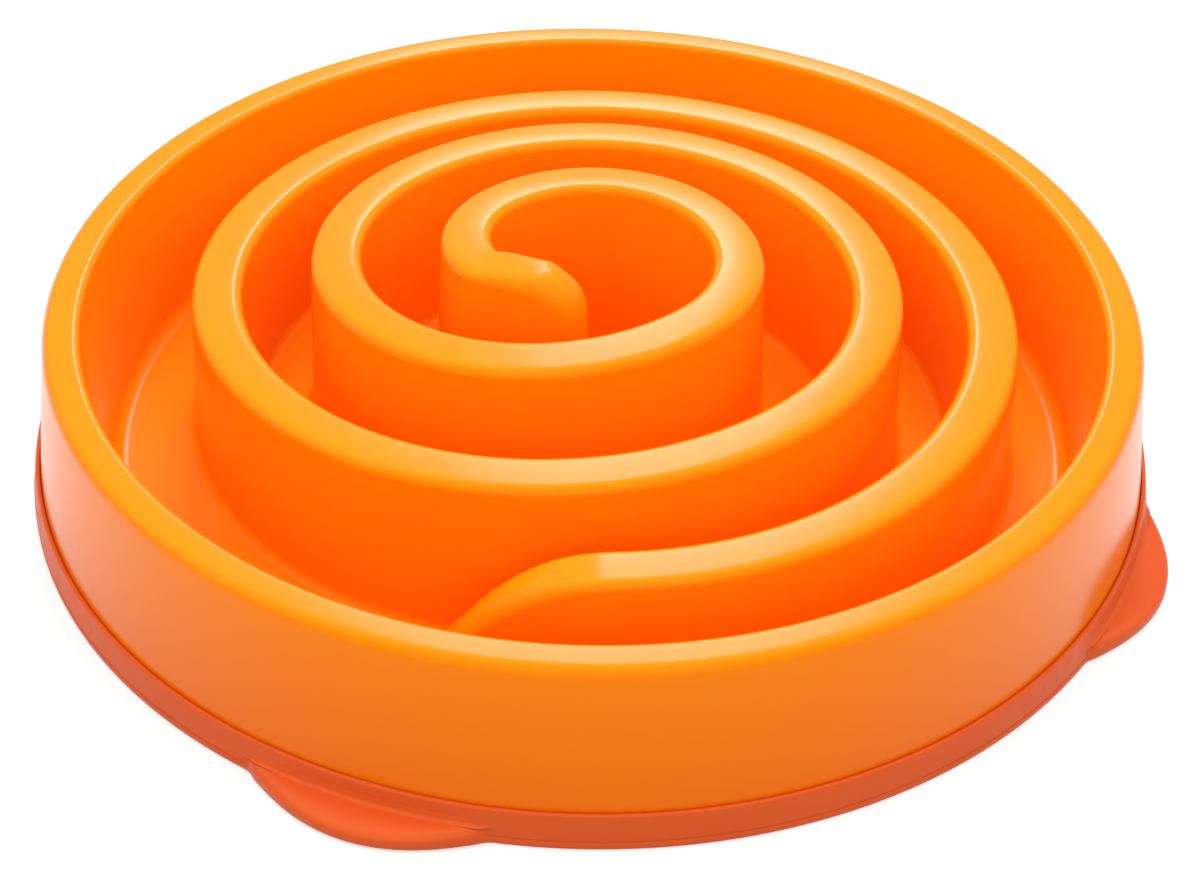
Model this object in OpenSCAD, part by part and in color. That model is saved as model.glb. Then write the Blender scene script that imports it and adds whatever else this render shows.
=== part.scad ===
// Slow feeder bowl: a moulded plastic bowl with a spiral ridge, standing in a rubber ring.
// Millimetres, +Z up, origin on the table under the middle of the bowl.

/* [Bowl] */
// Radius of the bowl at the outside of its rim
rim_r = 145; // [140:1:165]
// Height of the rim above the table
rim_h = 50; // [46:1:60]
// Width of the rim from its inner to its outer edge
rim_w = 10; // [9:0.5:13]
// Radius of the rim's rounded edges
rim_round = 3; // [2:0.5:4]
// Slope of the bowl's two walls away from upright, in degrees
wall_draft = 7; // [4:0.5:9]
// Thickness of the moulded plastic
wall_t = 2.6; // [2:0.2:3]
// Height of the feeding floor above the table
floor_h = 6; // [5.6:0.2:9]
// Radius of the hollow corner between floor and wall
floor_round = 4; // [3:0.5:6]

/* [Ridge] */
// Radius of the ridge's outer turn
outer_turn_r = 106; // [102:1:108]
// Radius of the ridge's middle turn
middle_turn_r = 75; // [72:1:77]
// Radius of the ridge's inner turn
inner_turn_r = 38; // [36:1:41]
// Radius of the hook at the ridge's inner end
hook_r = 26; // [24:1:28]
// Radius of the tight bend after the hook
bend_r = 9; // [8:0.5:11]
// Length of the straight tail after the bend
tail_l = 26.2; // [22:0.2:30]
// Width across the ridge's top
ridge_w = 13.5; // [12:0.1:16]
// Radius along the ridge's top edges
ridge_round = 2.8; // [2.6:0.1:5]
// Radius of the hollow corner between ridge and floor
foot_round = 2.5; // [2:0.5:3]
// Slope of the ridge's sides away from upright, in degrees
ridge_draft = 2.2; // [1:0.2:3]
// Height of the ridge above the table on its outer turn
outer_turn_h = 47; // [40:1:52]
// Height above the table that the ridge's domed top would reach at the middle
dome_h = 70.5; // [62:0.5:76]
// Slope of the ridge's outer end, in degrees
ramp_a = 53; // [45:1:60]
// Radius where the outer end's slope meets the ridge's top
ramp_round = 42; // [30:1:48]
// Radius over the top of the ridge's inner end
tail_round = 12.5; // [8:0.5:14]
// Radius round the sides of the ridge's inner end
tail_side_round = 5; // [4:0.5:6]

/* [Base ring] */
// Height of the rubber ring
ring_h = 10; // [8:0.5:12]
// Thickness of the ring outside the bowl's wall, at the ring's top
ring_lip_t = 1.4; // [1.2:0.1:2.4]
// Thickness of the ring outside the bowl's wall, at the table
ring_foot_t = 1.4; // [1.2:0.1:2.4]
// Thickness of rubber under the bowl's wall
ring_sole_t = 3; // [2:0.2:4]
// Height of the ring inside the bowl's wall
ring_inner_h = 7; // [5:0.5:9]
// Thickness of the ring inside the bowl's wall
ring_inner_t = 2.4; // [2:0.2:3]
// Gap between the rubber ring and the bowl's wall
ring_gap = 0.2; // [0.1:0.05:0.3]
// Height of the fine groove round the outside of the ring
groove_h = 2.3; // [2:0.1:3]
// Depth of the fine groove
groove_d = 0.5; // [0.3:0.1:0.7]

/* [Tabs] */
// How far a tab stands out from the ring
tab_reach = 9.3; // [6:0.1:14]
// Width of a tab where it joins the ring
tab_w = 66; // [50:1:80]
// Height of a tab's top where it joins the ring
tab_h = 5; // [4:0.25:6]
// Radius of a tab's rounded edge
tab_round = 1.6; // [1:0.2:2]
// Gap between a tab's underside and the table
tab_gap = 0.4; // [0.2:0.1:1]

/* [Hidden] */
bowl_colour = [1, 0.5, 0.04];
rubber_colour = [0.9, 0.36, 0.2];
$fn = 180;

// Directions are measured from +X, turning towards +Y.
outer_end_a = 245.75;
turn_split_a = 135;
hook_sweep = 74;
bend_sweep = 39.5;
// The tabs stand in two opposite pairs. These are one tab of each pair.
tab_angles = [70.2, 157.6];

// Steps that round stretches are drawn in, and how far a step along the ridge may stray from its turn.
edge_steps = 6;
turn_stray = 0.34;
ramp_steps = 9;
tail_steps = 7;
tab_steps = 16;

// A cut runs past the face it opens by this much, and a part that joins another sinks in by it.
overrun = 1;

// A round corner in a drawn outline: points on a circle from one angle to another.
function corner(x, y, r, from_a, to_a, steps) =
    [for (i = [0:steps]) let (a = from_a + (to_a - from_a) * i / steps) [x + r * cos(a), y + r * sin(a)]];

// The bowl's walls, as radii at a height. Both lean away from the rim as they go down.
slope = tan(wall_draft);
thick = wall_t / cos(wall_draft);
rim_edge_z = rim_h - rim_round + rim_round * sin(wall_draft);
rim_edge_in = rim_round * (1 - cos(wall_draft));
function skirt_r(z) = rim_r - rim_edge_in + slope * (rim_edge_z - z);
function basin_r(z) = rim_r - rim_w + rim_edge_in - slope * (rim_edge_z - z);
skirt_foot_z = ring_sole_t;
under_z = floor_h - wall_t;
rim_under_z = rim_h - wall_t;

// The corner between floor and wall is tangent to both.
floor_corner_z = floor_h + floor_round;
floor_corner_r = basin_r(floor_corner_z) - floor_round / cos(wall_draft);

module bowl_walls() {
    rotate_extrude() polygon(concat(
        [[skirt_r(skirt_foot_z) - thick, skirt_foot_z], [skirt_r(skirt_foot_z), skirt_foot_z]],
        corner(rim_r - rim_round, rim_h - rim_round, rim_round, wall_draft, 90, edge_steps),
        corner(rim_r - rim_w + rim_round, rim_h - rim_round, rim_round, 90, 180 - wall_draft, edge_steps),
        corner(floor_corner_r, floor_corner_z, floor_round, -wall_draft, -90, edge_steps),
        [[0, floor_h], [0, under_z], [basin_r(under_z) + thick, under_z]],
        [[basin_r(rim_under_z) + thick, rim_under_z], [skirt_r(rim_under_z) - thick, rim_under_z]]
    ));
}

// The ridge follows half turns, each tangent to the next, then a hook, a tight bend and a tail.
// A station on it is [x, y, heading, length so far, radius of the turn on its left].
turns = [
    [outer_turn_r, 360 + turn_split_a - outer_end_a],
    [(outer_turn_r + middle_turn_r) / 2, 180],
    [middle_turn_r, 180],
    [(middle_turn_r + inner_turn_r) / 2, 180],
    [inner_turn_r, 180],
    [hook_r, hook_sweep],
    [bend_r, bend_sweep]
];
ridge_start = [outer_turn_r * cos(outer_end_a), outer_turn_r * sin(outer_end_a), outer_end_a + 90, 0, outer_turn_r];

function along_arc(s, r, a) = [
    s[0] + r * (sin(s[2] + a) - sin(s[2])),
    s[1] - r * (cos(s[2] + a) - cos(s[2])),
    s[2] + a,
    s[3] + r * a * PI / 180,
    r
];
function along_line(s, l) = [s[0] + l * cos(s[2]), s[1] + l * sin(s[2]), s[2], s[3] + l, s[4]];
function after(s, n) = n == 0 ? s : let (t = turns[n - 1]) along_arc(after(s, n - 1), t[0], t[1]);
function arc_stations(s, r, sweep, steps) = [for (i = [0:steps - 1]) along_arc(s, r, sweep * i / steps)];

// Steps along a turn, so that a chord strays from the turn by no more than turn_stray.
function turn_steps(r, sweep) = ceil(sweep / (2 * acos(1 - turn_stray / r)));

// The ramp at the outer end is drawn in finer steps than the turns.
ramp_rise = outer_turn_h - floor_h;
ramp_l = ramp_rise / tan(ramp_a) + ramp_round * tan(ramp_a / 2);
ramp_sweep = ramp_l / outer_turn_r * 180 / PI;
ramp_end = along_arc(ridge_start, outer_turn_r, ramp_sweep);
first_sweep = turns[0][1] - ramp_sweep;
tail_start = after(ridge_start, len(turns));
tail_end = tail_start[3] + tail_l;

// The tail's steps close up towards its round end.
function tail_share(i) = sin(90 * i / tail_steps);

stations = concat(
    arc_stations(ridge_start, outer_turn_r, ramp_sweep, ramp_steps),
    arc_stations(ramp_end, outer_turn_r, first_sweep, turn_steps(outer_turn_r, first_sweep)),
    [for (n = [1:len(turns) - 1]) each
        let (t = turns[n]) arc_stations(after(ridge_start, n), t[0], t[1], turn_steps(t[0], t[1]))],
    [for (i = [0:tail_steps]) along_line(tail_start, tail_l * tail_share(i))]
);

// Height of the ridge's top: a dome over the bowl, cut down by the ramp and the round inner end.
dome_power = 1.15;
function dome(s) = dome_h - (dome_h - outer_turn_h) * pow(norm([s[0], s[1]]) / outer_turn_r, dome_power);
function round_off(x, r) = x <= 0 ? 0 : r - sqrt(max(0, r * r - x * x));
function ramp(l, top) =
    let (rise = top - floor_h, bend_l = rise / tan(ramp_a) + ramp_round * tan(ramp_a / 2) - l)
    bend_l < ramp_round * sin(ramp_a)
        ? top - round_off(bend_l, ramp_round)
        : floor_h + l * tan(ramp_a);

// The ridge's top and half its width, for its outside or, set in by the wall's thickness, for its hollow.
function ridge_top(s, inset) =
    ramp(s[3] - inset * tan(ramp_a / 2), dome(s)) - inset
    - round_off(s[3] - tail_end + tail_round, tail_round - inset);
function half_w(s, inset) =
    ridge_w / 2 - inset - round_off(s[3] - tail_end + tail_side_round, tail_side_round - inset);

// One side of the ridge's section, from the foot up to the top: [distance out, height].
most_round_share = 0.8;
top_angles = [0, 45, 90];
foot_angles = [255, 218, 180];
function ridge_side(s) =
    let (
        top = max(ridge_top(s, 0), floor_h + overrun / 2),
        rise = top - floor_h,
        w = half_w(s, 0),
        top_r = min(ridge_round, rise / 2, w * most_round_share),
        foot_r = min(foot_round, rise / 4, w / 4),
        foot_x = w + (rise - top_r) * tan(ridge_draft) + foot_r
    )
    concat(
        [[foot_x + foot_r * cos(foot_angles[0]), floor_h - overrun]],
        [for (a = foot_angles) [foot_x + foot_r * cos(a), floor_h + foot_r + foot_r * sin(a)]],
        [for (a = top_angles) [w - top_r + top_r * cos(a), top - top_r + top_r * sin(a)]]
    );

// One side of the hollow under the ridge.
function hollow_side(s) =
    let (
        low = under_z - overrun,
        top = max(ridge_top(s, wall_t), low + overrun / 2),
        w = half_w(s, wall_t),
        shoulder = min(max(ridge_round - wall_t, ridge_round / 4), (top - low) / 2)
    )
    [
        [w + (top - low) * tan(ridge_draft), low],
        [w, top - shoulder],
        [w - shoulder, top]
    ];

// A ring of points round the section. In a tight bend its left side stops short of the bend's middle.
inside_share = 0.95;
function ring_of(s, side) = concat(
    [for (p = side) let (x = min(p[0], s[4] * inside_share)) [s[0] - x * sin(s[2]), s[1] + x * cos(s[2]), p[1]]],
    [for (i = [len(side) - 1:-1:0]) let (p = side[i]) [s[0] + p[0] * sin(s[2]), s[1] - p[0] * cos(s[2]), p[1]]]
);

// A closed skin over a row of rings that all have the same number of points.
module skin(rings) {
    n = len(rings[0]);
    last = len(rings) - 1;
    polyhedron(
        points = [for (r = rings) each r],
        faces = concat(
            [[for (i = [0:n - 1]) i]],
            [for (k = [0:last - 1], i = [0:n - 1]) let (j = (i + 1) % n)
                [k * n + j, k * n + i, (k + 1) * n + i, (k + 1) * n + j]],
            [[for (i = [n - 1:-1:0]) last * n + i]]
        )
    );
}

module bowl_shell() {
    color(bowl_colour) difference() {
        union() {
            bowl_walls();
            skin([for (s = stations) ring_of(s, ridge_side(s))]);
        }
        skin([for (s = stations) if (s[3] <= tail_end - wall_t) ring_of(s, hollow_side(s))]);
    }
}

// The ring's outside leans with the bowl's wall above the groove.
ring_top_r = skirt_r(ring_h) + ring_lip_t;
ring_foot_r = skirt_r(0) + ring_foot_t;
ring_edge_r = ring_lip_t / 2;
ring_slot_out = ring_gap / cos(wall_draft);
ring_inner_x = skirt_r(ring_sole_t) - thick - ring_slot_out - ring_inner_t;

module ring_band() {
    rotate_extrude() polygon(concat(
        [[ring_inner_x, 0]],
        corner(ring_foot_r - ring_edge_r, ring_edge_r, ring_edge_r, -90, 0, edge_steps),
        [[ring_foot_r, groove_h - groove_d], [ring_foot_r - groove_d, groove_h], [ring_foot_r, groove_h + groove_d]],
        corner(ring_top_r - ring_edge_r, ring_h - ring_edge_r, ring_edge_r, 0, 90, edge_steps),
        [[skirt_r(ring_h) + ring_slot_out, ring_h], [skirt_r(ring_sole_t) + ring_slot_out, ring_sole_t]],
        [[skirt_r(ring_sole_t) - thick - ring_slot_out, ring_sole_t]],
        [[skirt_r(ring_inner_h) - thick - ring_slot_out, ring_inner_h]],
        [[ring_inner_x, ring_inner_h]]
    ));
}

// A tab bulges from the ring and fades back into it at both ends. Its root lies inside the ring's wall.
tab_half_a = asin(tab_w / 2 / ring_foot_r);
tab_root_r = skirt_r(0) + ring_gap;
tab_fade = 1.3;
function bulge(share) = pow(1 - share * share, tab_fade);
function tab_ring(x_in, z) = concat(
    [for (i = [0:tab_steps]) let (
            share = 2 * i / tab_steps - 1,
            r = tab_root_r + overrun / 2 + (ring_foot_r - tab_root_r - overrun / 2 + tab_reach - x_in) * bulge(share))
        [r * cos(share * tab_half_a), r * sin(share * tab_half_a), z]],
    [for (i = [tab_steps:-1:0]) let (a = (2 * i / tab_steps - 1) * tab_half_a)
        [tab_root_r * cos(a), tab_root_r * sin(a), z]]
);

module tab() {
    z_edge = tab_h - tab_round;
    skin([
        tab_ring(tab_round / 2, tab_gap),
        tab_ring(0, tab_gap + tab_round / 2),
        tab_ring(0, z_edge),
        tab_ring(tab_round / 3, z_edge + tab_round / 2),
        tab_ring(tab_round, tab_h)
    ]);
}

module base_ring() {
    color(rubber_colour) union() {
        ring_band();
        for (a = tab_angles, opposite = [0, 180]) rotate([0, 0, a + opposite]) tab();
    }
}

bowl_shell();
base_ring();
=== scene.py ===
"""A slow feeder bowl on a white studio floor, seen from the front and above."""
import math

import bmesh
import bpy
import numpy as np
from mathutils import Matrix, Vector
from mathutils.geometry import delaunay_2d_cdt


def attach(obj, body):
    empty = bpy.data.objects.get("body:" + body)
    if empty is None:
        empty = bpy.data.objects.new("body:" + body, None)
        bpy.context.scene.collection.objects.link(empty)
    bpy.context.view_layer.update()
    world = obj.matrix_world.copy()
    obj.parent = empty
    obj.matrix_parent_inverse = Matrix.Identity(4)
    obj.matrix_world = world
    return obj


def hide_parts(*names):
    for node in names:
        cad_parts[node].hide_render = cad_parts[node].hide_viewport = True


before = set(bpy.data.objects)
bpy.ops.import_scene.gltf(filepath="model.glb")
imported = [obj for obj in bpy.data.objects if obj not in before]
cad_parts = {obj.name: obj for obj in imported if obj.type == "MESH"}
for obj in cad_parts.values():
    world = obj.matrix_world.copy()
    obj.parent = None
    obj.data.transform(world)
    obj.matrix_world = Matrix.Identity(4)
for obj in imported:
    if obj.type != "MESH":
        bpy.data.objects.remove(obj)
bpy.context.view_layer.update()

# Shapes are in millimetres, +Z up, from the table under the middle of the bowl. Directions are measured
# from +X, turning towards +Y. Meshes, materials and the studio are in Blender's metres.
MM = 0.001

# The bowl
RIM_R = 145
RIM_H = 50
RIM_W = 10
RIM_ROUND = 3  # radius of the rim's outer edge
RIM_IN_ROUND = 2  # radius of the rim's inner edge
WALL_DRAFT = math.radians(7)
WALL_T = 2.6
FLOOR_H = 6
FLOOR_ROUND = 4  # radius of the hollow corner between floor and wall
EDGE_ROUND = 0.6  # radius of the skirt's lower edges

# The ridge's middle line: the radii of its turns, then a hook, a tight bend and a straight tail
OUTER_TURN_R = 106
MIDDLE_TURN_R = 75
INNER_TURN_R = 38
HOOK_R = 26
BEND_R = 9
TAIL_L = 26.2
OUTER_END = math.radians(245.75)  # direction of the ridge's outer end
TURN_SPLIT = math.radians(135)  # direction in which the outer turn ends
HOOK_SWEEP = math.radians(74)
BEND_SWEEP = math.radians(39.5)

# The ridge's section
RIDGE_W = 13.5
RIDGE_ROUND = 2.8  # radius of its top edges
RIDGE_CROWN = 0.2  # how far its top falls from the middle line to its edges
OUTER_LEAN = math.radians(1)  # how steeply its top rises outwards on the outer turn
INNER_LEAN = math.radians(4.5)  # and on the inner turn
LEAN_RISE = 15  # a stretch lower than this leans less
RIDGE_DRAFT = math.radians(2.2)
FOOT_ROUND = 2.5  # radius of the hollow corner between ridge and floor

# The ridge's height, its ramp at the outer end and its round tail at the inner end
OUTER_TURN_H = 47
DOME_H = 70.1  # height that the top would reach at the bowl's middle
DOME_POWER = 1.15
RAMP = math.radians(53)
RAMP_ROUND = 42
RAMP_FOOT_ROUND = 5
RAMP_EDGE_ROUND = 6
RAMP_EDGE_FALL = 12  # how far the ramp falls while its edges grow rounder
TAIL_ROUND = 12.5
TAIL_SQUARE = 2.8  # power of the tail's plan, where 2 is an ellipse
TAIL_EDGE_ROUND = 4.8
TAIL_EDGE_L = 14  # length over which the tail's edges grow rounder

# Limits where the ridge is low, narrow or tightly bent
LEAST_RISE = 0.02
LEAST_EDGE = RIDGE_ROUND / 4
EDGE_OF_RISE, FOOT_OF_RISE, CROWN_OF_RISE = 0.45, 0.4, 0.1  # largest roundings, as shares of the rise
EDGE_OF_HALF = 0.98  # largest edge, as a share of half the width
ROOM_USED = 0.97  # share of the way to where the ridge's left side would meet itself

# The rubber ring
RING_H = 10
RING_T = 1.4
RING_EDGE = 0.65
RING_SOLE = 3  # thickness under the skirt, the bowl's outer wall
RING_INNER_H = 7
RING_INNER_T = 2.4
RING_GAP = 0.2
RING_LIP = 3  # height of the ring's top stretch, which no tab changes
GROOVE_H = 2.3
GROOVE_HALF = 0.45
GROOVE_D = 0.5

# The ring's tabs, in two opposite pairs. These are the directions of one tab of each pair.
TAB_ANGLES = [math.radians(70.2), math.radians(157.6)]
TAB_REACH = 9.03
TAB_W = 66
TAB_H = 5
TAB_ROUND = 2.4  # height of a tab's rounded edge
TAB_DOME = 6.5  # how far in that edge reaches in the middle of a tab
TAB_GAP = 0.4  # gap between a tab's underside and the table
TAB_FADE = 1.3
TAB_FLARE = 1.2  # radius of the hollow corner where a tab's top meets the ring
TAB_BLEND = 0.2  # share of the reach over which the ring's plain section turns into a tab's

# Points round the bowl and the ring, and the longest step and largest turn along the ridge
TURN_POINTS = 400
RING_POINTS = 900
STEP_L = 2.6
STEP_A = math.radians(2.2)

# Steps in round corners and along straight stretches
CORNER_STEPS = 12
SMALL_STEPS = 4
RIM_STEPS = 3
WALL_STEPS = 6
SKIRT_STEPS = 8
FAN_STEPS = 30
TOP_SHARES = (0, 0.35, 0.7)
TOP_EDGE_STEPS = 10
SIDE_STEPS = 4
RIDGE_FOOT_STEPS = 8
RING_FOOT_STEPS = 5
GROOVE_STEPS = 15
RING_WALL_STEPS = 11
TAB_SIDE_STEPS = 6
TAB_ROUND_STEPS = 8
TAB_TOP_STEPS = 4
TAB_FLARE_STEPS = 6
RING_LIP_STEPS = 3
RING_TOP_STEPS = 6

WELD = 0.0005  # points of a mesh that are closer than this become one
NEARLY_ZERO = 1e-6
FILL_NEAR = 1e-7  # points of a flat outline that are closer than this count as one
FILL_INSIDE = 1  # asks for the faces inside the outlines alone


class Skin:
    """Points and faces of one mesh, in millimetres."""

    def __init__(self):
        self.points, self.faces = [], []

    def grid(self, rows):
        """Rows of points, each a closed loop with as many points as the others, joined by faces.

        Returns the points' numbers.
        """
        rows = np.asarray(rows, float)
        ids = len(self.points) + np.arange(rows.shape[0] * rows.shape[1]).reshape(rows.shape[:2])
        self.points += rows.reshape(-1, 3).tolist()
        for low, high in zip(ids, ids[1:]):
            self.band(low, high)
        return ids

    def band(self, low, high):
        """Faces between two loops that are already there."""
        self.faces += [list(q) for q in zip(low, np.roll(low, -1), np.roll(high, -1), high)]

    def flat(self, outer, hole):
        """A flat face between an outer loop and a hole in it."""
        ids = list(outer) + list(hole)
        at = [Vector(self.points[i][:2]) for i in ids]
        n, m = len(outer), len(hole)
        edges = [(i, (i + 1) % n) for i in range(n)] + [(n + i, n + (i + 1) % m) for i in range(m)]
        points, _, faces, origins, _, _ = delaunay_2d_cdt(at, edges, [], FILL_INSIDE, FILL_NEAR)
        middles = np.array([np.mean([points[k] for k in face], axis=0) for face in faces])
        in_hole = inside(middles, np.array([self.points[i][:2] for i in hole]))
        for face, skipped in zip(faces, in_hole):
            corners = [ids[origins[k][0]] for k in face]
            if not skipped and len(set(corners)) > 2:
                self.faces.append(corners)

    def build(self, name):
        mesh = bpy.data.meshes.new(name)
        mesh.from_pydata([[c * MM for c in p] for p in self.points], [], self.faces)
        shape = bmesh.new()
        shape.from_mesh(mesh)
        bmesh.ops.remove_doubles(shape, verts=shape.verts, dist=WELD * MM)
        bmesh.ops.recalc_face_normals(shape, faces=shape.faces)
        for face in shape.faces:
            face.smooth = True
        shape.to_mesh(mesh)
        shape.free()
        made = bpy.data.objects.new(name, mesh)
        bpy.context.collection.objects.link(made)
        return made


def arc(x, y, r, start, end, steps):
    """Points on a circle from one angle to another, in degrees."""
    angles = np.radians(np.linspace(start, end, steps + 1))
    return [(x + r * math.cos(a), y + r * math.sin(a)) for a in angles]


def line(start, end, steps):
    """Points between two ends, without the ends."""
    shares = [i / steps for i in range(1, steps)]
    return [(start[0] + (end[0] - start[0]) * t, start[1] + (end[1] - start[1]) * t) for t in shares]


def inside(points, loop):
    """Which points lie inside a closed loop.

    A ray from such a point crosses the loop an odd number of times.
    """
    x, y = points.T[:, :, None]
    x0, y0 = loop.T[:, None, :]
    x1, y1 = np.roll(loop, -1, axis=0).T[:, None, :]
    spans = (y0 > y) != (y1 > y)
    rise = np.where(y1 == y0, 1, y1 - y0)
    return (spans & (x < x0 + (x1 - x0) * (y - y0) / rise)).sum(axis=1) % 2 == 1


def smooth(x):
    """0 below 0, 1 above 1 and a smooth step between."""
    x = np.clip(x, 0, 1)
    return x * x * (3 - 2 * x)


def turned(profile, count):
    """A profile of (radius, height) turned round the bowl's axis, as rows for Skin.grid."""
    around = np.linspace(0, 2 * math.pi, count, endpoint=False)
    return [
        np.stack([r * np.cos(around), r * np.sin(around), np.full(count, z)], axis=1) for r, z in profile
    ]


# The bowl's walls. Both lean away from the rim as they go down.
SLOPE = math.tan(WALL_DRAFT)
THICK = WALL_T / math.cos(WALL_DRAFT)
DRAFT_DEG = math.degrees(WALL_DRAFT)
RIM_EDGE_Z = RIM_H - RIM_ROUND + RIM_ROUND * math.sin(WALL_DRAFT)
RIM_EDGE_IN = RIM_ROUND * (1 - math.cos(WALL_DRAFT))


def skirt_r(z):
    """Radius of the bowl's outside at a height."""
    return RIM_R - RIM_EDGE_IN + SLOPE * (RIM_EDGE_Z - z)


def basin_r(z):
    """Radius of the bowl's inside at a height."""
    return RIM_R - RIM_W + RIM_EDGE_IN - SLOPE * (RIM_EDGE_Z - z)


CORNER_Z = FLOOR_H + FLOOR_ROUND
CORNER_R = basin_r(CORNER_Z) - FLOOR_ROUND / math.cos(WALL_DRAFT)


def wall_profile():
    """The walls' section as one line.

    It runs from the floor's edge over the rim, round the skirt's foot and back under the floor.
    """
    corner = arc(CORNER_R, CORNER_Z, FLOOR_ROUND, -90, -DRAFT_DEG, CORNER_STEPS)
    in_z = RIM_H - RIM_IN_ROUND
    in_r = basin_r(in_z + RIM_IN_ROUND * math.sin(WALL_DRAFT)) + RIM_IN_ROUND * math.cos(WALL_DRAFT)
    rim_in = arc(in_r, in_z, RIM_IN_ROUND, 180 - DRAFT_DEG, 90, CORNER_STEPS)
    rim_out = arc(RIM_R - RIM_ROUND, RIM_H - RIM_ROUND, RIM_ROUND, 90, DRAFT_DEG, CORNER_STEPS)
    foot_z = RING_SOLE + EDGE_ROUND
    foot_out = arc(skirt_r(foot_z) - EDGE_ROUND, foot_z, EDGE_ROUND, 0, -90, SMALL_STEPS)
    foot_in = arc(skirt_r(foot_z) - THICK + EDGE_ROUND, foot_z, EDGE_ROUND, -90, -180, SMALL_STEPS)
    under_z = RIM_H - WALL_T
    under_out = (skirt_r(under_z) - THICK, under_z)
    under_in = (basin_r(under_z) + THICK, under_z)
    under = arc(CORNER_R, CORNER_Z, FLOOR_ROUND + WALL_T, -DRAFT_DEG, -90, CORNER_STEPS)
    return (
        corner
        + line(corner[-1], rim_in[0], WALL_STEPS)
        + rim_in
        + line(rim_in[-1], rim_out[0], RIM_STEPS)
        + rim_out
        + line(rim_out[-1], foot_out[0], SKIRT_STEPS)
        + foot_out
        + foot_in
        + line(foot_in[-1], under_out, WALL_STEPS)
        + [under_out, under_in]
        + line(under_in, under[0], WALL_STEPS)
        + under
    )


def middle_line():
    """The ridge's middle line as rows of x, y, heading and length.

    Half turns, each tangent to the next, are followed by a hook, a tight bend and a tail, which stops
    where the round inner end starts. The line starts before the outer end, to leave the ramp's foot room.
    """
    turns = [
        (OUTER_TURN_R, 2 * math.pi + TURN_SPLIT - OUTER_END),
        ((OUTER_TURN_R + MIDDLE_TURN_R) / 2, math.pi),
        (MIDDLE_TURN_R, math.pi),
        ((MIDDLE_TURN_R + INNER_TURN_R) / 2, math.pi),
        (INNER_TURN_R, math.pi),
        (HOOK_R, HOOK_SWEEP),
        (BEND_R, BEND_SWEEP),
    ]
    lead = RAMP_FOOT_ROUND * math.tan(RAMP / 2) / OUTER_TURN_R
    angle = OUTER_END - lead
    x, y = OUTER_TURN_R * math.cos(angle), OUTER_TURN_R * math.sin(angle)
    heading, length = angle + math.pi / 2, -lead * OUTER_TURN_R
    turns[0] = (OUTER_TURN_R, turns[0][1] + lead)
    stations = []
    for radius, sweep in turns:
        steps = math.ceil(max(radius * sweep / STEP_L, sweep / STEP_A))
        for a in np.arange(steps) * sweep / steps:
            stations.append(
                (
                    x + radius * (math.sin(heading + a) - math.sin(heading)),
                    y - radius * (math.cos(heading + a) - math.cos(heading)),
                    heading + a,
                    length + radius * a,
                )
            )
        x += radius * (math.sin(heading + sweep) - math.sin(heading))
        y -= radius * (math.cos(heading + sweep) - math.cos(heading))
        heading, length = heading + sweep, length + radius * sweep
    straight = TAIL_L - TAIL_ROUND
    steps = math.ceil(straight / STEP_L)
    for t in np.arange(steps + 1) * straight / steps:
        stations.append((x + t * math.cos(heading), y + t * math.sin(heading), heading, length + t))
    return np.array(stations)


MIDDLE = middle_line()


def dome(x, y):
    """Height of the ridge's top, had it no ramp."""
    return DOME_H - (DOME_H - OUTER_TURN_H) * (np.hypot(x, y) / OUTER_TURN_R) ** DOME_POWER


def top_lean(x, y):
    """How far the ridge's top leans outwards, as a slope. It is steepest on the inner turn."""
    out = smooth((np.hypot(x, y) - INNER_TURN_R) / (OUTER_TURN_R - INNER_TURN_R))
    return math.tan(INNER_LEAN) + (math.tan(OUTER_LEAN) - math.tan(INNER_LEAN)) * out


def round_off(x, r):
    """How far a round edge of radius r has fallen at x past its start."""
    x = np.clip(x, 0, r)
    return r - np.sqrt(r * r - x * x)


def ramp(length, rise, inset):
    """Height above the floor at a length from the outer end.

    A round foot is followed by a slope and a round shoulder.
    """
    length = length - inset * math.tan(RAMP / 2)
    foot = RAMP_FOOT_ROUND + inset
    shoulder = RAMP_ROUND - inset
    from_foot = length + foot * math.tan(RAMP / 2)
    from_top = rise / math.tan(RAMP) + shoulder * math.tan(RAMP / 2) - length
    slope = length * math.tan(RAMP)
    low = np.where(from_foot < foot * math.sin(RAMP), round_off(from_foot, foot), slope)
    return np.where(from_top < shoulder * math.sin(RAMP), rise - round_off(from_top, shoulder), low)


def room_on_left(stations):
    """How far the ridge's left side can reach before it meets itself, at each station."""
    at = stations[:, :2]
    left = np.stack([-np.sin(stations[:, 2]), np.cos(stations[:, 2])], axis=1)
    away = at[None, :, :] - at[:, None, :]
    ahead = np.einsum("ijk,ik->ij", away, left)
    reach = (away**2).sum(axis=2) / np.maximum(2 * ahead, NEARLY_ZERO)
    return np.where(ahead > NEARLY_ZERO, reach, np.inf).min(axis=1)


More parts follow.
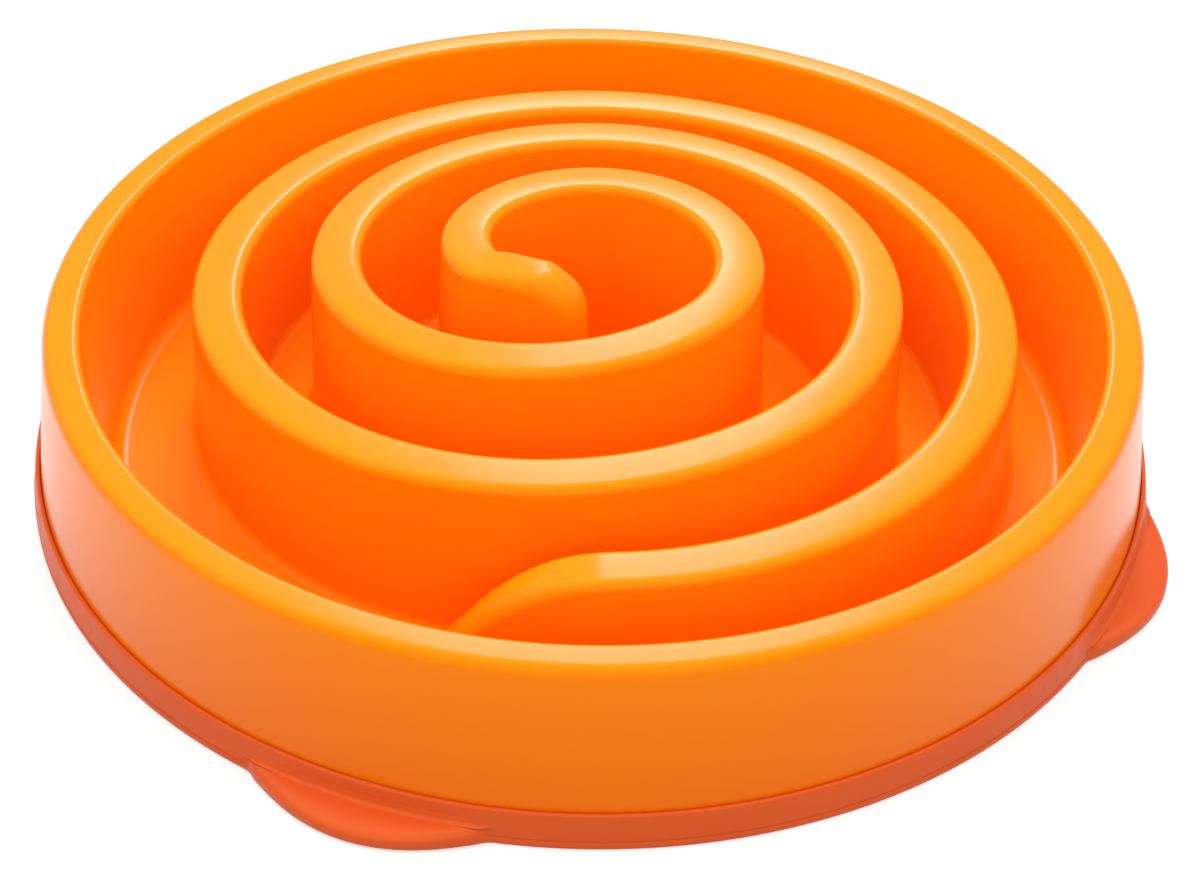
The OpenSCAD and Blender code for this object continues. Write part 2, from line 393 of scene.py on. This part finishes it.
def ridge_rows(inset):
    """The ridge's outside, or its hollow set in by the wall's thickness, as rows that run round it.

    The first row is its middle line, there and back, and the last is its foot on the floor.
    """
    floor = FLOOR_H - inset
    foot_r = FOOT_ROUND + inset
    x, y, heading, length = MIDDLE.T
    top = floor + ramp(length, dome(x, y) - FLOOR_H, inset)
    room = ROOM_USED * room_on_left(MIDDLE)
    half = RIDGE_W / 2 - inset
    slope = top_lean(x, y)
    fallen = dome(x, y) - inset - top
    edges = max(RIDGE_ROUND - inset, LEAST_EDGE)
    edges = edges + (RAMP_EDGE_ROUND - RIDGE_ROUND) * smooth(fallen / RAMP_EDGE_FALL)
    near_tail = 1 - (length[-1] - length) / TAIL_EDGE_L
    edges += (TAIL_EDGE_ROUND - RIDGE_ROUND) * smooth(near_tail)

    def side(sign, limit, order):
        """Spokes to the left or the right of the middle line."""
        away = heading + sign * math.pi / 2
        return [
            (x[i], y[i], away[i], sign * slope[i], half, edges[i], top[i], limit[i]) for i in order
        ]

    def fan(i, start, end, reach, reach_edge, edge):
        """Spokes round an end, whose plan is between an ellipse and a rectangle."""
        made = []
        for a in np.linspace(start, end, FAN_STEPS + 1)[1:-1]:
            along, across = abs(math.cos(a)) / reach, abs(math.sin(a)) / half
            w = (along**TAIL_SQUARE + across**TAIL_SQUARE) ** (-1 / TAIL_SQUARE)
            r = min(edge + (reach_edge - edge) * math.cos(a) ** 2, w)
            made.append((x[i], y[i], heading[i] + a, math.sin(a) * slope[i], w, r, top[i], np.inf))
        return made

    n = len(MIDDLE)
    free = np.full(n, np.inf)
    end_reach = TAIL_ROUND - inset
    spokes = (
        side(1, room, range(n))
        + fan(n - 1, math.pi / 2, -math.pi / 2, end_reach, end_reach, edges[-1])
        + side(-1, free, range(n - 1, -1, -1))
        + fan(0, -math.pi / 2, -1.5 * math.pi, half, edges[0], edges[0])
    )
    columns = [spoke_points(*spoke, floor, foot_r) for spoke in spokes]
    return np.array(columns).transpose(1, 0, 2)


def spoke_points(x, y, direction, lean, half, edge, top, limit, floor, foot_r):
    """Points from the ridge's middle line over its top edge and down its side to the floor.

    Along the direction the top rises by the slope lean. A low stretch leans less.
    """
    rise = max(top - floor, LEAST_RISE)
    edge = min(edge, EDGE_OF_RISE * rise, EDGE_OF_HALF * half)
    foot_r = min(foot_r, FOOT_OF_RISE * rise)
    crown = min(RIDGE_CROWN, CROWN_OF_RISE * rise)
    draft = math.degrees(RIDGE_DRAFT)
    flat = half - edge
    points = [(flat * t, top - crown * (flat * t / half) ** 2) for t in TOP_SHARES]
    drop = crown * (flat / half) ** 2
    points += arc(flat, top - drop - edge, edge, 90, draft, TOP_EDGE_STEPS)
    side_r, side_z = points[-1]
    side_fall = side_z - floor - foot_r * (1 - math.sin(RIDGE_DRAFT))
    foot_x = side_r + side_fall * math.tan(RIDGE_DRAFT) + foot_r * math.cos(RIDGE_DRAFT)
    foot = arc(foot_x, floor + foot_r, foot_r, 180 + draft, 270, RIDGE_FOOT_STEPS)
    points += line(points[-1], foot[0], SIDE_STEPS) + foot
    across, along = math.cos(direction), math.sin(direction)
    lift = lean * min(1, rise / LEAN_RISE) / rise
    return [
        (x + min(r, limit) * across, y + min(r, limit) * along, z + r * lift * (z - floor))
        for r, z in points
    ]


def make_bowl():
    skin = Skin()
    walls = skin.grid(turned(wall_profile(), TURN_POINTS))
    outside = skin.grid(ridge_rows(0))
    hollow = skin.grid(ridge_rows(WALL_T))
    skin.flat(walls[0], outside[-1])
    skin.flat(walls[-1], hollow[-1])
    return skin.build("bowl_shell_skin")


# The rubber ring's outside, at its foot and at its top, and the slot that holds the bowl's wall
RING_FOOT_R = skirt_r(0) + RING_T
RING_TOP_R = skirt_r(RING_H) + RING_T
LIP_Z = RING_H - RING_LIP
SLOT = RING_GAP / math.cos(WALL_DRAFT)
TAB_EDGE_Z = TAB_H - TAB_ROUND


def ring_wall(z):
    """Radius of the ring's outside at a height. It is upright up to the groove and leans above it."""
    return RING_FOOT_R + (RING_TOP_R - RING_FOOT_R) * max(0, z - GROOVE_H) / (RING_H - GROOVE_H)


def heights(low, high, steps):
    """Heights from low up to high, without low."""
    return np.linspace(low, high, steps + 1)[1:]


def ring_foot():
    """The round edge that the ring's outside starts with."""
    return arc(RING_FOOT_R - RING_EDGE, RING_EDGE, RING_EDGE, -90, 0, RING_FOOT_STEPS)


def plain_side():
    """The ring's outside up to its lip where it has no tab: a foot, a soft groove and a leaning wall."""
    past_groove = 2 * GROOVE_H - RING_EDGE
    groove = [
        (ring_wall(z) - GROOVE_D * math.exp(-2 * ((z - GROOVE_H) / GROOVE_HALF) ** 2), z)
        for z in heights(RING_EDGE, past_groove, GROOVE_STEPS)
    ]
    wall = [(ring_wall(z), z) for z in heights(past_groove, LIP_Z, RING_WALL_STEPS)]
    return ring_foot() + groove + wall


def tab_share(around):
    """How far a tab stands out at an angle round the ring, from 0 to 1."""
    half = math.asin(TAB_W / 2 / RING_FOOT_R)
    off = [(around - angle + math.pi / 2) % math.pi - math.pi / 2 for angle in TAB_ANGLES]
    return np.max([np.maximum(0, 1 - (a / half) ** 2) ** TAB_FADE for a in off], axis=0)


def tab_side(share, mix, count):
    """The ring's outside up to its lip through a tab, with count points.

    The tab stands out by a share of its reach. Its lower edge is lifted off the table by a share mix of
    the gap, and its round edge reaches further in towards the tab's middle.
    """
    upright = ring_foot() + [(RING_FOOT_R, z) for z in heights(RING_EDGE, TAB_EDGE_Z, TAB_SIDE_STEPS)]
    edge = arc(RING_FOOT_R - TAB_ROUND, TAB_EDGE_Z, TAB_ROUND, 0, 90, TAB_ROUND_STEPS)[1:]
    spread = (TAB_DOME / TAB_ROUND - 1) * share * share
    out = TAB_REACH * share
    tab = [(r + out, z + TAB_GAP * (1 - z / TAB_EDGE_Z) * mix) for r, z in upright]
    tab += [(r + out - spread * (RING_FOOT_R - r), z) for r, z in edge]
    root = arc(ring_wall(TAB_H) + TAB_FLARE, TAB_H + TAB_FLARE, TAB_FLARE, 270, 180, TAB_FLARE_STEPS)
    tab += line(tab[-1], root[0], TAB_TOP_STEPS) + root
    return tab + [(ring_wall(z), z) for z in heights(TAB_H + TAB_FLARE, LIP_Z, count - len(tab))]


def ring_rows():
    """The ring's section at each angle, as rows that run round it."""
    plain = plain_side()
    top = arc(RING_TOP_R - RING_EDGE, RING_H - RING_EDGE, RING_EDGE, 0, 90, RING_TOP_STEPS)
    inner_r = skirt_r(RING_SOLE) - THICK - SLOT - RING_INNER_T
    back = [
        (skirt_r(RING_H) + SLOT, RING_H),
        (skirt_r(RING_SOLE) + SLOT, RING_SOLE),
        (skirt_r(RING_SOLE) - THICK - SLOT, RING_SOLE),
        (skirt_r(RING_INNER_H) - THICK - SLOT, RING_INNER_H),
        (inner_r, RING_INNER_H),
        (inner_r, 0),
        (RING_FOOT_R - 2 * RING_EDGE, 0),
    ]
    around = np.linspace(0, 2 * math.pi, RING_POINTS, endpoint=False)
    share = tab_share(around)
    mix = smooth(share / TAB_BLEND)
    columns = []
    for a, s, m in zip(around, share, mix):
        tab = tab_side(s, m, len(plain))
        side = [(p[0] * (1 - m) + q[0] * m, p[1] * (1 - m) + q[1] * m) for p, q in zip(plain, tab)]
        lip = line(side[-1], (RING_TOP_R, RING_H - RING_EDGE), RING_LIP_STEPS)
        columns.append([(r * math.cos(a), r * math.sin(a), z) for r, z in side + lip + top + back])
    return np.array(columns).transpose(1, 0, 2)


def make_ring():
    skin = Skin()
    rows = skin.grid(ring_rows())
    skin.band(rows[-1], rows[0])
    return skin.build("base_ring_skin")


# The looks. Colours are linear red, green and blue. A noise is its features a metre and its layers of
# finer detail, a bump is its depth in millimetres and its strength, and a roughness runs between two
# values.
PLASTIC_COLOURS = (0.99, 0.236, 0.0012), (1.0, 0.251, 0.0016)
# painted shade: a darker colour that the skirt's outside takes on towards its foot
PLASTIC_FOOT_SHADE = (0.9, 0.18, 0.001)
PLASTIC_SHINE = (1.0, 0.03, 0.08)
PLASTIC_ROUGHNESS = 0.17, 0.22
PLASTIC_DEPTH_SHARE = 0.12  # share of the light that enters the plastic
PLASTIC_DEPTH = 3.0
PLASTIC_DEPTH_COLOURS = (1.0, 0.25, 0.05)
PLASTIC_CLOUD, PLASTIC_SMEAR = (22, 2), (120, 4)
PLASTIC_WAVE, PLASTIC_WAVE_BUMP = (38, 1), (0.25, 0.12)
PLASTIC_GRAIN, PLASTIC_GRAIN_BUMP = (900, 2), (0.01, 0.25)

RUBBER_COLOURS = (0.69, 0.083, 0.009), (0.73, 0.093, 0.012)
RUBBER_SHINE = (1.0, 0.6, 0.36)
RUBBER_ROUGHNESS = 0.38, 0.5
RUBBER_CLOUD, RUBBER_SMEAR = (40, 3), (300, 3)
RUBBER_GRAIN, RUBBER_GRAIN_BUMP = (1500, 3), (0.03, 0.35)

IOR = 1.5
NOISE_RANGE = 0.3, 0.7

FLOOR_COLOURS = (0.48, 0.48, 0.48), (0.51, 0.51, 0.51)
FLOOR_CLOUD = (3, 2)
FLOOR_ROUGHNESS = 0.9
FLOOR_GLOSS = 0.1
FLOOR_GLOW = 0.52, 0.78  # the floor's own glow near the bowl and far from it
FLOOR_GLOW_AT = 0.25, 1.2  # the distances of both, in metres
WHITE = (1, 1, 1)


class Look:
    """A material, with short ways to make and join its nodes."""

    def __init__(self, name):
        self.material = bpy.data.materials.new(name)
        self.material.use_nodes = True
        self.nodes = self.material.node_tree.nodes

    def feed(self, socket, value):
        """Joins a socket to another node's output, or sets it to a number or a colour."""
        if isinstance(value, bpy.types.NodeSocket):
            self.material.node_tree.links.new(value, socket)
        elif socket.type == "RGBA":
            socket.default_value = (*value, 1)
        else:
            socket.default_value = value

    def node(self, kind, inputs, **settings):
        made = self.nodes.new(kind)
        for name, value in settings.items():
            setattr(made, name, value)
        for name, value in inputs.items():
            self.feed(made.inputs[name], value)
        return made

    def surface(self, inputs):
        for name, value in inputs.items():
            self.feed(self.nodes["Principled BSDF"].inputs[name], value)

    def place(self):
        return self.node("ShaderNodeTexCoord", {}).outputs["Object"]

    def noise(self, scale, detail):
        inputs = {"Vector": self.place(), "Scale": scale, "Detail": detail}
        return self.node("ShaderNodeTexNoise", inputs).outputs["Fac"]

    def spread(self, value, over, to, **settings):
        """A value that runs over the range "to" as value runs over the range "over"."""
        inputs = {"Value": value}
        inputs["From Min"], inputs["From Max"] = over
        inputs["To Min"], inputs["To Max"] = to
        return self.node("ShaderNodeMapRange", inputs, **settings).outputs["Result"]

    def blend(self, share, one, other):
        """A colour between two others."""
        inputs = {"Factor": share, "A": one, "B": other}
        return self.node("ShaderNodeMix", inputs, data_type="RGBA").outputs["Result"]

    def combine(self, operation, one, other):
        return self.node("ShaderNodeMath", {0: one, 1: other}, operation=operation).outputs["Value"]

    def length(self, vector):
        return self.node("ShaderNodeVectorMath", {0: vector}, operation="LENGTH").outputs["Value"]

    def bump(self, height, depth, strength, **under):
        """A bump, over another one if that is given as Normal."""
        inputs = {"Height": height, "Distance": depth * MM, "Strength": strength, **under}
        return self.node("ShaderNodeBump", inputs).outputs["Normal"]


def skirt_foot_shade(look):
    """Mask for the painted shade: 0 on the bowl's inside and at its rim, rising to 1 at the foot of its
    outside.
    """
    parts = look.node("ShaderNodeSeparateXYZ", {"Vector": look.place()}).outputs
    level = look.node("ShaderNodeCombineXYZ", {"X": parts["X"], "Y": parts["Y"]}).outputs["Vector"]
    rim_middle, rim_edge = (RIM_R - RIM_W / 2) * MM, (RIM_R - RIM_ROUND) * MM
    out = look.spread(look.length(level), (rim_middle, rim_edge), (0, 1))
    down = look.spread(parts["Z"], ((RIM_H - RIM_ROUND) * MM, RING_H * MM), (0, 1))
    return look.combine("MULTIPLY", out, down)


def moulded_plastic():
    """Glossy moulded plastic that lets a little light in, with painted shade that darkens the skirt
    towards its foot.
    """
    look = Look("orange_plastic")
    clear = look.blend(look.noise(*PLASTIC_CLOUD), *PLASTIC_COLOURS)
    wave = look.bump(look.noise(*PLASTIC_WAVE), *PLASTIC_WAVE_BUMP)
    look.surface({
        # Painted shade: the base colour darkens down the skirt's outside towards its foot
        "Base Color": look.blend(skirt_foot_shade(look), clear, PLASTIC_FOOT_SHADE),
        "Roughness": look.spread(look.noise(*PLASTIC_SMEAR), NOISE_RANGE, PLASTIC_ROUGHNESS),
        "IOR": IOR,
        "Specular Tint": PLASTIC_SHINE,
        "Subsurface Weight": PLASTIC_DEPTH_SHARE,
        "Subsurface Radius": PLASTIC_DEPTH_COLOURS,
        "Subsurface Scale": PLASTIC_DEPTH * MM,
        "Normal": look.bump(look.noise(*PLASTIC_GRAIN), *PLASTIC_GRAIN_BUMP, Normal=wave),
    })
    return look.material


def soft_rubber():
    """Satin rubber with a fine grain."""
    look = Look("coral_rubber")
    look.surface({
        "Base Color": look.blend(look.noise(*RUBBER_CLOUD), *RUBBER_COLOURS),
        "Roughness": look.spread(look.noise(*RUBBER_SMEAR), NOISE_RANGE, RUBBER_ROUGHNESS),
        "IOR": IOR,
        "Specular Tint": RUBBER_SHINE,
        "Normal": look.bump(look.noise(*RUBBER_GRAIN), *RUBBER_GRAIN_BUMP),
    })
    return look.material


def pale_floor():
    """A pale floor that looks white, yet throws little light back at the bowl and shows its shadow."""
    look = Look("pale_floor")
    ray = look.node("ShaderNodeLightPath", {}).outputs
    seen = look.combine("MAXIMUM", ray["Is Camera Ray"], ray["Is Glossy Ray"])
    seen = look.combine("MAXIMUM", seen, ray["Is Transmission Ray"])
    away = look.length(look.place())
    glow = look.spread(away, FLOOR_GLOW_AT, FLOOR_GLOW, interpolation_type="SMOOTHSTEP")
    look.surface({
        "Base Color": look.blend(look.noise(*FLOOR_CLOUD), *FLOOR_COLOURS),
        "Roughness": FLOOR_ROUGHNESS,
        "Specular IOR Level": FLOOR_GLOSS,
        "Emission Color": WHITE,
        "Emission Strength": look.combine("MULTIPLY", seen, glow),
    })
    return look.material


def paint(made, material):
    made.data.materials.clear()
    made.data.materials.append(material)


# The camera looks down at the bowl. Its place, in millimetres, was fitted on the rim's and the ring's
# outlines.
CAMERA_ELEVATION = math.radians(38.577)
CAMERA_DISTANCE = 704.9
CAMERA_ROLL = math.radians(-1.316)
CAMERA_RIGHT = 2.353
CAMERA_UP = -1.538
CAMERA_LENS = 76.008
SENSOR_W = 36

# The studio, in metres
CLIP_START, CLIP_END = 0.01, 50
FLOOR_HALF = 15.0
AMBIENT = 0.52


def add_camera():
    e, r = CAMERA_ELEVATION, CAMERA_ROLL
    back = Vector((0, -math.cos(e), math.sin(e)))
    right = Vector((1, 0, 0))
    up = Vector((0, math.sin(e), math.cos(e)))
    place = (back * CAMERA_DISTANCE + right * CAMERA_RIGHT + up * CAMERA_UP) * MM
    across = right * math.cos(r) - up * math.sin(r)
    upward = right * math.sin(r) + up * math.cos(r)
    data = bpy.data.cameras.new("camera")
    data.lens, data.sensor_width, data.sensor_fit = CAMERA_LENS, SENSOR_W, "HORIZONTAL"
    data.clip_start, data.clip_end = CLIP_START, CLIP_END
    camera = bpy.data.objects.new("camera", data)
    turn = Matrix((across, upward, back)).transposed().to_4x4()
    camera.matrix_world = Matrix.Translation(place) @ turn
    bpy.context.collection.objects.link(camera)
    bpy.context.scene.camera = camera


def softbox(name, azimuth, elevation, distance, width, height, radiance):
    """A light that faces the bowl, with sizes in metres and angles in degrees.

    Azimuth 0 is behind the bowl and 90 on its right.
    """
    a, e = math.radians(azimuth), math.radians(elevation)
    towards = Vector((math.sin(a) * math.cos(e), math.cos(a) * math.cos(e), math.sin(e)))
    data = bpy.data.lights.new(name, "AREA")
    data.shape, data.size, data.size_y = "RECTANGLE", width, height
    data.energy = radiance * math.pi * width * height
    light = bpy.data.objects.new(name, data)
    light.location = towards * distance
    light.rotation_mode = "QUATERNION"
    light.rotation_quaternion = towards.to_track_quat("Z", "Y")
    light.visible_camera = False
    bpy.context.collection.objects.link(light)


def add_world():
    world = bpy.data.worlds.new("studio")
    world.use_nodes = True
    world.node_tree.nodes["Background"].inputs["Color"].default_value = (AMBIENT, AMBIENT, AMBIENT, 1)
    bpy.context.scene.world = world


def add_floor():
    half = FLOOR_HALF
    corners = [(-half, -half, 0), (half, -half, 0), (half, half, 0), (-half, half, 0)]
    mesh = bpy.data.meshes.new("floor")
    mesh.from_pydata(corners, [], [(0, 1, 2, 3)])
    floor = bpy.data.objects.new("floor", mesh)
    bpy.context.collection.objects.link(floor)
    paint(floor, pale_floor())


bowl = make_bowl()
paint(bowl, moulded_plastic())
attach(bowl, "root")
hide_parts("bowl_shell")

ring = make_ring()
paint(ring, soft_rubber())
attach(ring, "root")
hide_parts("base_ring")

add_camera()
add_floor()
add_world()
softbox("back_box", azimuth=1, elevation=45, distance=1.6, width=0.44, height=0.88, radiance=10.5)
softbox("top_box", azimuth=0, elevation=88, distance=0.75, width=0.7, height=0.7, radiance=2.1)
softbox("left_box", azimuth=-95, elevation=48, distance=1.6, width=1.2, height=1.1, radiance=1.4)
softbox("right_box", azimuth=95, elevation=48, distance=1.6, width=1.2, height=1.1, radiance=1.4)
softbox("front_box", azimuth=180, elevation=36, distance=1.6, width=1.4, height=0.9, radiance=1.6)

bpy.context.scene.view_settings.view_transform = "Standard"
